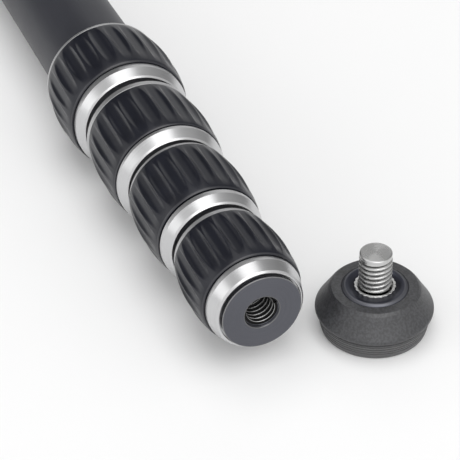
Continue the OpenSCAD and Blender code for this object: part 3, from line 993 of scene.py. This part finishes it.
# %% [markdown]
# ## Knurled insert
#
# The bright ring in the disc's middle is the top of a steel insert, moulded into the rubber. Its knurl keeps
# it from turning there: a triangle wave on the insert's outer radius, real enough to show at the outline.

# %% Knurled insert
INSERT_TOP = 15.0
KNURL_TEETH = 22
KNURL_COLUMNS = 12
KNURL_DEPTH = 0.22
KNURL_STEEP = 1.3
COUNTERBORE = (5.22, 13.5)
SHANK_BORE = 4.42
SHANK_FROM = 6.0


def knurled(radius, angle, height):
    """On the insert's outside the radius falls by the knurl's depth times a triangle wave, one wave a tooth.
    The wave is steepened about its middle and cut off at 0 and 1, which leaves small flats."""
    wave = np.abs(2 * (angle * KNURL_TEETH / TURN % 1) - 1)
    tooth = np.clip(KNURL_STEEP * wave - (KNURL_STEEP - 1) / 2, 0, 1)
    return radius - (radius > (COUNTERBORE[0] + INSERT_R) / 2) * KNURL_DEPTH * tooth


insert_profile = rounded([
    (0, INSERT_FROM + SLIP_FIT), (INSERT_R, INSERT_FROM + SLIP_FIT), (INSERT_R, INSERT_TOP, 0.1),
    (COUNTERBORE[0], INSERT_TOP, 0.06), COUNTERBORE, (SHANK_BORE, COUNTERBORE[1]), (SHANK_BORE, SHANK_FROM),
    (0, SHANK_FROM),
])
insert_angles = even_angles(KNURL_TEETH * KNURL_COLUMNS)
insert = lathe("foot_knurled_insert", insert_profile, at_foot, insert_angles, knurled)
stand_for(insert, insert_metal, "insert_metal", "foot_insert")

# %% [markdown]
# ## Stud
#
# The stud screws out of the insert and ends in a plain collar under a flat tip. Its thread is the same change
# of radius as the socket's, outwards here. Its valleys, and its part down in the insert's counterbore, get a
# painted shade.

# %% Stud
STUD_MAJOR = 9.525 / 2
STUD_MINOR = 3.95
STUD_CREST = 0.3
STUD_SHANK = (4.35, 12.5)
STUD_THREAD_FROM = 13.0
RIDGE_FROM = INSERT_TOP - 0.45
RIDGE_FULL = INSERT_TOP - 0.05
TIP_PLAIN = 1.0
TIP_RUN_OUT = 0.8
TIP_R = 4.68
AXIS_POINT = 1.0
stud_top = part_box("foot_stud")[1].z / MM


def stud_thread(radius, angle, height):
    """Above the insert the radius goes from the minor to the major radius on the ridges, and it goes over to
    the plain collar's radius at the tip. Within the insert's counterbore it stays at the minor radius."""
    threaded = np.abs(radius - STUD_MAJOR) < SAME_RADIUS
    ridge = thread_ridge(height, angle, crest=STUD_CREST) * fade(height, RIDGE_FROM, RIDGE_FULL)
    cut = (STUD_MAJOR - STUD_MINOR) * (1 - ridge)
    plain = STUD_MAJOR - TIP_R
    share = fade(height, stud_top - TIP_PLAIN, stud_top - TIP_PLAIN - TIP_RUN_OUT)
    return radius - threaded * (plain + (cut - plain) * share)


stud_profile = np.concatenate([
    rounded([(0, stud_top - AXIS_POINT), (0, SHANK_FROM + SLIP_FIT), (STUD_SHANK[0], SHANK_FROM + SLIP_FIT),
             STUD_SHANK]),
    thread_rows(STUD_MAJOR, STUD_THREAD_FROM, stud_top - TIP_PLAIN),
    rounded([(TIP_R, stud_top - 2 * TIP_PLAIN), (TIP_R, stud_top, 0.35), (0, stud_top)])[1:],
])
stud_cut = stud_steel.cut_share(STUD_MAJOR - STUD_MINOR)
# The deeper the cut, the darker the steel: painted shade in the valleys and in the counterbore.
stud_steel.over(stud_steel.spread(stud_cut, 0, 1, 0.45, 0.95), grey(0.03))
stud = lathe("foot_stud_threaded", stud_profile, at_foot, shape=stud_thread)
stand_for(stud, stud_steel, "stud_steel", "foot_stud")

# %% [markdown]
# ## Foam handle
#
# The grip near the camera end is a sleeve of closed-cell foam between two metal end rings. It isn't in the
# picture, so its form is the usual one: a straight cylinder with rounded ends. A slow wave of less than a
# tenth of a millimetre in the surface keeps it from looking machined.

# %% Foam handle
HANDLE_EDGE = 3.0
EDGE_ROOM = 1.7
FOAM_WAVE = 0.08
HANDLE_ROWS = 90
BEYOND = 20.0
foam_r, foam_from, foam_to = reach("foam_handle")
tube_1_r = reach("tube_1")[0]
on_tube = tube_1_r + SLIP_FIT


def foam_surface(radius, angle, height):
    """Outside, the radius falls by up to the foam's wave: a product of sines of the angle and the height,
    with wavelengths of some centimetres."""
    wave = np.sin(3 * angle + height / 9) * np.sin(height / 17 + 2 * np.sin(2 * angle))
    return radius - (radius > tube_1_r + 1) * FOAM_WAVE * (1 + wave) / 2


edge_room = EDGE_ROOM * HANDLE_EDGE
foam_profile = np.concatenate([
    rounded([(on_tube, foam_from), (foam_r, foam_from, HANDLE_EDGE), (foam_r, foam_from + BEYOND)])[:-1],
    rows_at(foam_r, np.linspace(foam_from + edge_room, foam_to - edge_room, HANDLE_ROWS)),
    rounded([(foam_r, foam_to - BEYOND), (foam_r, foam_to, HANDLE_EDGE), (on_tube, foam_to)])[1:],
])
handle = lathe("handle_foam_sleeve", foam_profile, on_axis, shape=foam_surface)
stand_for(handle, handle_foam, "handle_foam", "foam_handle")

# %% [markdown]
# ## Rings at the handle's ends
#
# Each end of the foam is held by a turned ring with a small chamfer on both edges. Both are the same piece,
# so one loop makes them, each at its own node's place.

# %% Rings at both ends of the handle
RING_CHAMFER = 0.6
for node in ("handle_ring_lower", "handle_ring_upper"):
    ring_r, ring_from, ring_to = reach(node)
    chamfer_r = ring_r - RING_CHAMFER
    ring_profile = rounded([(on_tube, ring_from), (chamfer_r, ring_from, 0.15),
                            (ring_r, ring_from + RING_CHAMFER, 0.2), (ring_r, ring_to - RING_CHAMFER, 0.2),
                            (chamfer_r, ring_to, 0.15), (on_tube, ring_to)])
    stand_for(lathe(f"{node}_turned", ring_profile, on_axis), handle_metal, "handle_ring", node)

# %% [markdown]
# ## Strap ring
#
# A ring with a flat ear, whose slot takes a wrist strap. The ear is a plate with a hole, and that is the same
# kind of surface as a ring: one parameter runs round the outline, the other round the plate's thin section,
# from the outer edge over one face into the slot and back over the other face.

# %% Strap ring with its ear
EAR_REACH = 29.0
EAR_THICK = 3.0
EAR_CORNER = 3.0
EAR_EDGE = 0.4
SLOT_ALONG = 5.4
SLOT_OUT = 5.8
SLOT_CORNER = 1.0
SLOT_RIM = 2.4
CORNER_POINTS = 12
EDGE_POINTS = 9
EAR_ROOT = 1.0
BAND_EDGE = 0.5


def rounded_box(turn, half_out, half_along, corner):
    """A box with round corners. At the angle turn the point is the corner's centre in that quarter plus the
    corner's radius times (cosine, sine), so the straight sides are the jumps from quarter to quarter."""
    c, s = np.cos(turn), np.sin(turn)
    out = np.sign(c) * (half_out - corner) + corner * c
    return out, np.sign(s) * (half_along - corner) + corner * s


def ear_plate(name, inner_edge, outer_edge, along_middle, along_length):
    """points[i, j]: j goes round both outlines; i goes round the section, where each edge is rounded by an
    arc that draws the outline in by edge * (1 - cosine) and moves across by edge * sine."""
    quarter = (np.arange(CORNER_POINTS) + 0.5) / CORNER_POINTS * TURN / 4
    turn = np.concatenate([quarter + n * TURN / 4 for n in range(4)])[None, :]
    arc = np.linspace(-TURN / 4, TURN / 4, EDGE_POINTS)[:, None]
    across = np.sign(arc) * (EAR_THICK / 2 - EAR_EDGE) + EAR_EDGE * np.sin(arc)
    drawn_in = EAR_EDGE * (1 - np.cos(arc))
    out, along = rounded_box(turn, (outer_edge - inner_edge) / 2 - drawn_in, along_length / 2 - drawn_in,
                             EAR_CORNER - drawn_in)
    out_in, along_in = rounded_box(turn, SLOT_OUT / 2 + drawn_in[::-1], SLOT_ALONG / 2 + drawn_in[::-1],
                                   SLOT_CORNER + drawn_in[::-1])
    out = np.concatenate([out + (outer_edge + inner_edge) / 2, out_in + EAR_REACH - SLOT_RIM - SLOT_OUT / 2])
    along = np.concatenate([along, along_in]) + along_middle
    across = np.broadcast_to(np.concatenate([across, across[::-1]]), out.shape)
    points = np.stack([PLUG_X - along * MM, AXIS_Y + across * MM, AXIS_Z + out * MM], axis=-1)
    rows, columns = points.shape[:2]
    return grid_piece(name, points, np.arange(rows + 1) * MM, np.arange(columns + 1) * MM)


strap_low, strap_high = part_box("strap_ring")
strap_from, strap_to = (PLUG_X - strap_high.x) / MM, (PLUG_X - strap_low.x) / MM
strap_r = (strap_high.y - strap_low.y) / 2 / MM
band_profile = rounded([(on_tube, strap_from), (strap_r, strap_from, BAND_EDGE),
                        (strap_r, strap_to, BAND_EDGE), (on_tube, strap_to)])
stand_for(lathe("strap_ring_band", band_profile, on_axis), black_metal, "head_black", "strap_ring")
ear = ear_plate("strap_ring_ear", tube_1_r + EAR_ROOT, EAR_REACH, (strap_from + strap_to) / 2,
                strap_to - strap_from)
stand_for(ear, black_metal, "head_black", "strap_ring")

# %% [markdown]
# ## Hub
#
# The camera end is out of the picture too, and has its usual form. A turned hub closes the tube: its lower
# part is bonded into the tube, and its upper part has the tube's width. Its bore takes the camera screw.

# %% Hub
SMALL_BORE = 3.275
tube_top = reach("tube_1")[2]
cap_from = strap_to + SLIP_FIT
in_tube = tube_1_r - TUBE_WALL - SLIP_FIT
hub_r, hub_from, hub_to = reach("head_hub")
hub_profile = rounded([(SMALL_BORE, hub_from), (in_tube, hub_from, 0.5), (in_tube, tube_top + SLIP_FIT),
                       (on_tube, tube_top + SLIP_FIT), (on_tube, cap_from), (hub_r, cap_from, 0.3),
                       (hub_r, hub_to, 0.2), (SMALL_BORE, hub_to)])
stand_for(lathe("head_hub_turned", hub_profile, on_axis), black_metal, "head_black", "head_hub")

# %% [markdown]
# ## Head plate
#
# A round plate sits on the hub. A shallow well in its top takes the camera screw's flange, and its rim has a
# fine straight knurl to hold it by: a cosine wave on the radius, faded out before the rim's rounded edges.

# %% Head plate
SCREW_DISC_R = 8.0
SCREW_DISC_T = 1.5
WELL_R = SCREW_DISC_R + 0.1
PLATE_EDGE = 1.0
RIM_TEETH = 90
RIM_COLUMNS = 6
RIM_DEPTH = 0.25
RIM_ROWS = 12
RIM_FADE = 0.5
plate_r, plate_from, plate_to = reach("head_plate")


def rim_knurl(radius, angle, height):
    """On the middle of the plate's rim the radius falls by a cosine wave, one wave a tooth."""
    on_rim = fade(radius, plate_r - 0.4, plate_r - 0.02)
    above = fade(height, plate_from + PLATE_EDGE, plate_from + PLATE_EDGE + RIM_FADE)
    below = fade(height, plate_to - PLATE_EDGE, plate_to - PLATE_EDGE - RIM_FADE)
    return radius - on_rim * above * below * RIM_DEPTH * (1 - np.cos(RIM_TEETH * angle)) / 2


plate_profile = np.concatenate([
    rounded([(SMALL_BORE, plate_from), (plate_r - PLATE_EDGE, plate_from, 0.2),
             (plate_r, plate_from + PLATE_EDGE, 0.2), (plate_r, plate_from + 3 * PLATE_EDGE)])[:-1],
    rows_at(plate_r, np.linspace(plate_from + 1.3, plate_to - 1.6, RIM_ROWS)),
    rounded([(plate_r, plate_from + 2 * PLATE_EDGE), (plate_r, plate_to, 1.2), (WELL_R, plate_to, 0.1),
             (WELL_R, plate_to - SCREW_DISC_T), (SMALL_BORE, plate_to - SCREW_DISC_T)])[1:],
])
plate_angles = even_angles(RIM_TEETH * RIM_COLUMNS)
plate = lathe("head_plate_turned", plate_profile, on_axis, plate_angles, rim_knurl)
stand_for(plate, black_metal, "head_black", "head_plate")

# %% [markdown]
# ## Pad
#
# A ring of ribbed rubber on the plate keeps the camera from turning. Each groove between its ribs is four
# corners of the profile, made by a loop from the outside to the middle.

# %% Pad
PAD_GROOVES = (17.0, 15.0, 13.0, 11.0)
PAD_GROOVE_DEPTH = 0.3
PAD_GROOVE_TOP = 0.5
PAD_GROOVE_FLOOR = 0.25
PAD_BORE = SCREW_DISC_R + 0.4
pad_r, pad_from, pad_to = reach("head_pad")
pad_floor = pad_to - PAD_GROOVE_DEPTH
grooved_top = []
for groove in PAD_GROOVES:
    grooved_top += [(groove + PAD_GROOVE_TOP, pad_to, 0.15), (groove + PAD_GROOVE_FLOOR, pad_floor, 0.1),
                    (groove - PAD_GROOVE_FLOOR, pad_floor, 0.1), (groove - PAD_GROOVE_TOP, pad_to, 0.15)]
pad_profile = rounded([(PAD_BORE, pad_from), (pad_r, pad_from, 0.1), (pad_r, pad_to, 0.4), *grooved_top,
                       (PAD_BORE, pad_to, 0.2)])
stand_for(lathe("head_pad_moulded", pad_profile, on_axis), pad_rubber, "pad_rubber", "head_pad")

# %% [markdown]
# ## Camera screw
#
# The screw stands out of the plate's middle. It can be turned over: below its flange it has a smaller shank,
# and above it the same thread as the foot's stud.

# %% Camera screw
SMALL_MAJOR = 3.175
SCREW_RUN_OUT = 1.2
SCREW_START = 1.0
SCREW_TIP_IN = 0.7
_, screw_from, screw_to = reach("camera_screw")
disc_from = plate_to - SCREW_DISC_T + SLIP_FIT
disc_to = disc_from + SCREW_DISC_T


def camera_thread(radius, angle, height):
    """As on the foot's stud: the radius falls from the major to the minor radius between the ridges."""
    threaded = (np.abs(radius - STUD_MAJOR) < SAME_RADIUS) & (height > disc_to + 0.1)
    share = fade(height, screw_to, screw_to - SCREW_RUN_OUT) * fade(height, disc_to, disc_to + SCREW_START)
    ridge = 1 - (1 - thread_ridge(height, angle)) * share
    return radius - threaded * (STUD_MAJOR - STUD_MINOR) * (1 - ridge)


screw_profile = np.concatenate([
    rounded([(0, screw_to - AXIS_POINT), (0, screw_from), (SMALL_MAJOR, screw_from, 0.5),
             (SMALL_MAJOR, disc_from), (SCREW_DISC_R, disc_from, 0.1), (SCREW_DISC_R, disc_to, 0.2),
             (STUD_MAJOR, disc_to)]),
    thread_rows(STUD_MAJOR, disc_to + 0.15, screw_to - 0.9),
    rounded([(STUD_MAJOR - SCREW_TIP_IN, screw_to - 2), (STUD_MAJOR - SCREW_TIP_IN, screw_to, 0.2),
             (0, screw_to)])[1:],
])
screw = lathe("camera_screw_threaded", screw_profile, on_axis, shape=camera_thread)
stand_for(screw, screw_steel, "screw_steel", "camera_screw")

# %% [markdown]
# ## Pieces that stay as the model has them
#
# Collets, seals, guide shims and the plate's screws are out of sight inside the monopod. Their solids are
# already right, so the model's own meshes are shown, and they only get a finish.

# %% Finishes for the inner pieces
INNER = {"collet": guide_plastic, "shims": guide_plastic, "seal": seal_rubber, "plate": screw_steel}
for node, piece in frame["nodes"].items():
    kind = node.split("_")[0]
    if kind in INNER and not piece.hide_render:
        piece.data.materials.clear()
        piece.data.materials.append(INNER[kind].material)
        print("kept from the model:", node)

# %% [markdown]
# ## Floor
#
# The photograph's ground is white. A lit pale floor alone would be a little grey, so it also glows
# slightly, but only for the camera, for reflections and for what is seen through glass. It gives the object
# no extra light, and the shadow stays, because the glow is only added on top of the lit colour.

# %% Floor
FLOOR_SIZE = 12.0
FLOOR_ALBEDO = 0.84

floor_mesh = bpy.data.meshes.new("floor")
half = FLOOR_SIZE / 2
corners = [(-half, -half, 0), (half, -half, 0), (half, half, 0), (-half, half, 0)]
floor_mesh.from_pydata(corners, [], [(0, 1, 2, 3)])
floor = bpy.data.objects.new("floor", floor_mesh)
bpy.context.scene.collection.objects.link(floor)
floor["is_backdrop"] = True
print(f"floor: {FLOOR_SIZE:.0f} m square")

# %% [markdown]
# ## The floor's paper
#
# The colour is a pale grey with a very faint, slow grain. Light Path says what kind of ray looks at the
# floor, and the glow's strength is the larger of the camera's and the reflections' answers, times a small
# number.

# %% Floor finish
FLOOR_GLOW = 0.06
FLOOR_GRAIN = 0.995
paper = Finish("floor_paper", Specular_IOR_Level=0.0)
paper_grain = paper.noise(6, detail=2)
paper.colour(paper_grain, grey(FLOOR_ALBEDO * FLOOR_GRAIN), grey(FLOOR_ALBEDO))
paper.roughness(paper_grain, 0.9, 1.0)
rays = paper.node("ShaderNodeLightPath")
camera_or_glossy = paper.node("ShaderNodeMath", operation="MAXIMUM")
seen = paper.node("ShaderNodeMath", operation="MAXIMUM")
glow = paper.node("ShaderNodeMath", operation="MULTIPLY")
glow.inputs[1].default_value = FLOOR_GLOW
paper.shader.inputs["Emission Color"].default_value = (1, 1, 1, 1)
for source, target in ((rays.outputs["Is Camera Ray"], camera_or_glossy.inputs[0]),
                       (rays.outputs["Is Glossy Ray"], camera_or_glossy.inputs[1]),
                       (camera_or_glossy.outputs[0], seen.inputs[0]),
                       (rays.outputs["Is Transmission Ray"], seen.inputs[1]),
                       (seen.outputs[0], glow.inputs[0]),
                       (glow.outputs[0], paper.shader.inputs["Emission Strength"])):
    paper.tree.links.new(source, target)
floor_mesh.materials.append(paper.material)
print(f"floor: a grey of {FLOOR_ALBEDO:.2f} with a glow of {FLOOR_GLOW:.2f}")

# %% [markdown]
# ## The room
#
# Metal and glossy rubber show what stands round them. In the photograph the silver rings are bright towards
# the left, have two brighter stripes, and darken to the right, and the tube is dark on the left of its top
# and lighter on the right. So the world is brightest on the camera's side and falls off to the back and to
# the right. Its strength is a straight line in the direction's X and Y, and never less than a small value.

# %% Room
ROOM_MIDDLE = 0.61
ROOM_FRONT = 0.61
ROOM_LEFT = 0.16
ROOM_LEAST = 0.07

world = bpy.data.worlds.new("studio")
bpy.context.scene.world = world
world.use_nodes = True
tree = world.node_tree
background = tree.nodes["Background"]
background.inputs["Color"].default_value = (1, 1, 1, 1)
direction = tree.nodes.new("ShaderNodeTexCoord")
parts = tree.nodes.new("ShaderNodeSeparateXYZ")
to_front, to_left, least = (tree.nodes.new("ShaderNodeMath") for _ in range(3))
to_front.operation = to_left.operation = "MULTIPLY_ADD"
least.operation = "MAXIMUM"
to_front.inputs[1].default_value = ROOM_FRONT
to_front.inputs[2].default_value = ROOM_MIDDLE
to_left.inputs[1].default_value = -ROOM_LEFT
least.inputs[1].default_value = ROOM_LEAST
tree.links.new(direction.outputs["Generated"], parts.inputs["Vector"])
tree.links.new(parts.outputs["X"], to_front.inputs[0])
tree.links.new(parts.outputs["Y"], to_left.inputs[0])
tree.links.new(to_front.outputs[0], to_left.inputs[2])
tree.links.new(to_left.outputs[0], least.inputs[0])
tree.links.new(least.outputs[0], background.inputs["Strength"])
print(f"room: {ROOM_MIDDLE + ROOM_FRONT:.2f} straight in front, {ROOM_LEAST:.2f} at least")

# %% [markdown]
# ## Softboxes
#
# Large rectangular lamps hang overhead, high in front, low on the left, and behind on the right. The
# radiance of such a lamp is its power over pi times its area, so the lamps are given as radiances, where 1
# is the white of paper, and their power follows. Together with the room they light the floor so that a
# colour on it renders about as it is written.

# %% Softboxes
def softbox(name, azimuth, elevation, distance, width, height, radiance):
    """A rectangular lamp that faces the origin. Its azimuth is counted from +X towards +Y, and its power is
    radiance * pi * width * height."""
    lamp = bpy.data.lights.new(name, "AREA")
    lamp.shape = "RECTANGLE"
    lamp.size, lamp.size_y = width, height
    lamp.energy = radiance * math.pi * width * height
    holder = bpy.data.objects.new(name, lamp)
    a, e = math.radians(azimuth), math.radians(elevation)
    towards = Vector((math.cos(e) * math.cos(a), math.cos(e) * math.sin(a), math.sin(e)))
    holder.location = towards * distance
    holder.rotation_euler = towards.to_track_quat("Z", "Y").to_euler()
    holder.visible_camera = False
    bpy.context.scene.collection.objects.link(holder)
    print(f"{name}: {lamp.energy:.1f} W")


softbox("overhead", 0, 90, 2.4, 3.0, 1.6, 1.4)
softbox("front_top", 0, 48, 2.4, 2.2, 0.9, 1.8)
softbox("left_side", -106, 22, 2.4, 2.0, 1.3, 1.1)
softbox("behind_right", 150, 22, 2.4, 1.7, 1.7, 0.7)

# %% [markdown]
# ## Camera
#
# The photograph was taken from above and to the left of the foot, with a long lens. The camera's place was
# found by fitting circles of known size to the rims in the picture. Its three axes are worked out from the
# azimuth, the elevation and a small roll.

# %% Camera
CAMERA_AT = (0.55187, -0.14755, 0.3086)
CAMERA_AZIMUTH = 21.18
CAMERA_ELEVATION = 37.16
CAMERA_ROLL = -1.86
LENS = 126.78

azimuth, elevation, roll = (math.radians(v) for v in (CAMERA_AZIMUTH, CAMERA_ELEVATION, CAMERA_ROLL))
level = Vector((-math.cos(azimuth), math.sin(azimuth), 0))
up = Vector((0, 0, 1))
forward = level * math.cos(elevation) - up * math.sin(elevation)
flat_right = level.cross(up)
flat_up = flat_right.cross(forward)
right = flat_right * math.cos(roll) + flat_up * math.sin(roll)
above = flat_up * math.cos(roll) - flat_right * math.sin(roll)
camera_data = bpy.data.cameras.new("camera")
camera_data.lens = LENS
camera_data.sensor_width = 36.0
camera_data.clip_start, camera_data.clip_end = 0.01, 50.0
camera = bpy.data.objects.new("camera", camera_data)
camera.matrix_world = Matrix.Translation(CAMERA_AT) @ Matrix((right, above, -forward)).transposed().to_4x4()
bpy.context.scene.collection.objects.link(camera)
bpy.context.scene.camera = camera
bpy.context.scene.view_settings.view_transform = "Standard"
print(f"camera: a {LENS:.0f} mm lens, {CAMERA_ELEVATION:.0f} degrees above the floor")

# %% [markdown]
# ## Sizes
#
# The finished pieces must not stand out of the model's box, so both boxes are written down side by side.

# %% Write the sizes and finish
bpy.context.view_layer.update()
new_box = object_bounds()
for name, box in (("model", cad_box), ("visual", new_box)):
    print(name, "box in mm:", [[round(v / MM, 3) for v in corner] for corner in box])
